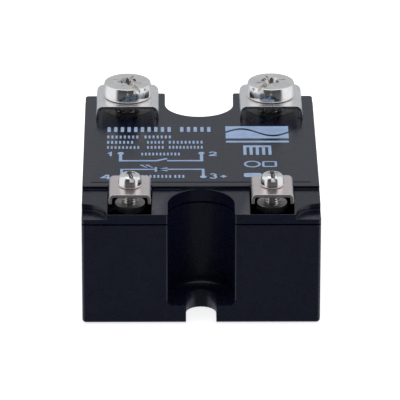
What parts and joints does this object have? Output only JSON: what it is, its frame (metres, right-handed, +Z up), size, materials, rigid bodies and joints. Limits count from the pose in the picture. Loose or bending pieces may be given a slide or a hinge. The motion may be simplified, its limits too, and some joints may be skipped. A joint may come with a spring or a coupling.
{
  "type": "solid state relay",
  "caption": "Panel-mount puck relay that switches an AC load without contacts, with saddle-clamp screw terminals on top and a metal heat-sink base.",
  "frame": {"origin": "centre of the relay's plan, on the mounting surface (underside of the base plate)", "axes": "+Z up out of the terminals, +Y towards the load terminals (1 and 2), +X to the right seen from the control end"},
  "size_m": [0.0448, 0.0582, 0.0292],
  "materials": {
    "housing_black": "fine spark-eroded texture, satin black",
    "cover_black": "satin dark grey-black, printed with circuit marks",
    "base_metal": "nickel-plated, milled flat",
    "clamp_nickel": "nickel-plated stamped steel, satin",
    "screw_nickel": "nickel-plated steel, bright",
    "bush_brass": "nickel-plated brass, turned",
    "copper": "bare copper",
    "ceramic_white": "fired alumina",
    "chip_silicon": "passivated silicon",
    "gel_clear": "soft silicone potting",
    "board_green": "epoxy glass board with solder mask",
    "component_black": "moulded epoxy",
    "tinned_wire": "tinned leads",
    "capacitor_box": "plastic case",
    "resistor_paint": "painted ceramic body"
  },
  "bodies": {
    "casing": {"base_plate": "base_metal", "ceramic_tile": "ceramic_white", "chip_bridges": "copper", "circuit_board": "board_green", "control_bush_3": "bush_brass", "control_bush_4": "bush_brass", "control_strap_3": "tinned_wire", "control_strap_4": "tinned_wire", "copper_tracks": "copper", "cover": "cover_black", "current_limiter": "component_black", "gate_pins": "tinned_wire", "gate_resistors": "resistor_paint", "housing": "housing_black", "input_diode": "component_black", "optocoupler": "component_black", "optocoupler_legs": "tinned_wire", "potting_gel": "gel_clear", "power_bush_1": "bush_brass", "power_bush_2": "bush_brass", "power_strap_1": "copper", "power_strap_2": "copper", "snubber_capacitor": "capacitor_box", "snubber_resistor": "resistor_paint", "thyristor_chips": "chip_silicon"},
    "power_clamp_1": {"power_clamp_1": "clamp_nickel"},
    "power_screw_1": {"power_screw_1": "screw_nickel"},
    "power_clamp_2": {"power_clamp_2": "clamp_nickel"},
    "power_screw_2": {"power_screw_2": "screw_nickel"},
    "control_clamp_3": {"control_clamp_3": "clamp_nickel"},
    "control_screw_3": {"control_screw_3": "screw_nickel"},
    "control_clamp_4": {"control_clamp_4": "clamp_nickel"},
    "control_screw_4": {"control_screw_4": "screw_nickel"}
  },
  "joints": [
    {"name": "power_clamp_1_lift", "type": "slide", "parent": "casing", "child": "power_clamp_1", "axis": [0, 0, 1], "range_m": [0, 0.004]},
    {"name": "power_screw_1_turn", "type": "hinge", "parent": "power_clamp_1", "child": "power_screw_1", "pos_m": [-0.01405, 0.0213, 0.0262], "axis": [0, 0, 1], "range_deg": [0, 1801]},
    {"name": "power_clamp_2_lift", "type": "slide", "parent": "casing", "child": "power_clamp_2", "axis": [0, 0, 1], "range_m": [0, 0.004]},
    {"name": "power_screw_2_turn", "type": "hinge", "parent": "power_clamp_2", "child": "power_screw_2", "pos_m": [0.01405, 0.0213, 0.0262], "axis": [0, 0, 1], "range_deg": [0, 1801]},
    {"name": "control_clamp_3_lift", "type": "slide", "parent": "casing", "child": "control_clamp_3", "axis": [0, 0, 1], "range_m": [-0.0026, 0.0015]},
    {"name": "control_screw_3_turn", "type": "hinge", "parent": "control_clamp_3", "child": "control_screw_3", "pos_m": [0.01335, -0.02265, 0.02562], "axis": [0, 0, 1], "range_deg": [-1873, 1081]},
    {"name": "control_clamp_4_lift", "type": "slide", "parent": "casing", "child": "control_clamp_4", "axis": [0, 0, 1], "range_m": [-0.0026, 0.0015]},
    {"name": "control_screw_4_turn", "type": "hinge", "parent": "control_clamp_4", "child": "control_screw_4", "pos_m": [-0.01335, -0.02265, 0.02562], "axis": [0, 0, 1], "range_deg": [-1873, 1081]}
  ],
  "couplings": [
    {"joint": "power_screw_1_turn", "follows": "power_clamp_1_lift", "rad_per_m": 7854},
    {"joint": "power_screw_2_turn", "follows": "power_clamp_2_lift", "rad_per_m": 7854},
    {"joint": "control_screw_3_turn", "follows": "control_clamp_3_lift", "rad_per_m": 12566},
    {"joint": "control_screw_4_turn", "follows": "control_clamp_4_lift", "rad_per_m": 12566}
  ]
}
